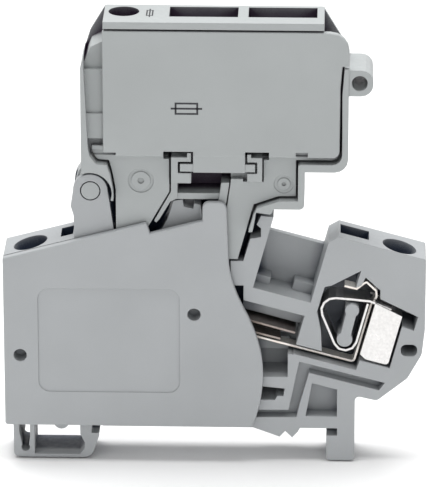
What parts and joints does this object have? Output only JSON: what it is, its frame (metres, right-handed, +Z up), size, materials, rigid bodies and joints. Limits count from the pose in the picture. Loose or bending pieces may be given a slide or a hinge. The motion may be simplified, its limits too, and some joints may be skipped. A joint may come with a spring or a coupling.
{
  "type": "fuse terminal block",
  "caption": "Slim terminal block for a 35 mm rail, open at the front of one clamp, with a fuse holder hinged on its top that swings up and over to take out the fuse.",
  "frame": {"origin": "centre of the bounding box's bottom face, between the two feet at their lower ends", "axes": "+X along the block towards its open clamp, +Y through its thickness away from the end plate, +Z up from the rail"},
  "size_m": [0.06, 0.008, 0.0664],
  "materials": {
    "housing_grey": "fine matt moulded polyamide",
    "holder_grey": "fine matt moulded polyamide, a little lighter",
    "tinned_copper": "bright tinned copper",
    "spring_steel": "bright rolled stainless spring steel",
    "nickel_plate": "nickel plated brass",
    "fuse_glass": "clear"
  },
  "bodies": {
    "base": {"base_housing": "housing_grey", "end_plate": "housing_grey", "clamp_spring_left": "spring_steel", "clamp_spring_right": "spring_steel", "current_bar_left": "tinned_copper", "current_bar_right": "tinned_copper", "contact_leaf_left": "spring_steel", "contact_leaf_right": "spring_steel", "contact_fork_left": "tinned_copper", "contact_fork_right": "tinned_copper"},
    "holder": {"holder_shell": "holder_grey", "holder_cover": "holder_grey", "fuse_carrier": "holder_grey", "fuse_contact_left": "tinned_copper", "fuse_contact_right": "tinned_copper", "fuse_spring": "spring_steel", "fuse_tube": "fuse_glass", "fuse_wire": "tinned_copper", "fuse_cap_left": "nickel_plate", "fuse_cap_right": "nickel_plate"}
  },
  "joints": [
    {"name": "holder_hinge", "type": "hinge", "parent": "base", "child": "holder", "pos_m": [-0.0175, 0, 0.041], "axis": [0, -1, 0], "range_deg": [0, 95]}
  ]
}
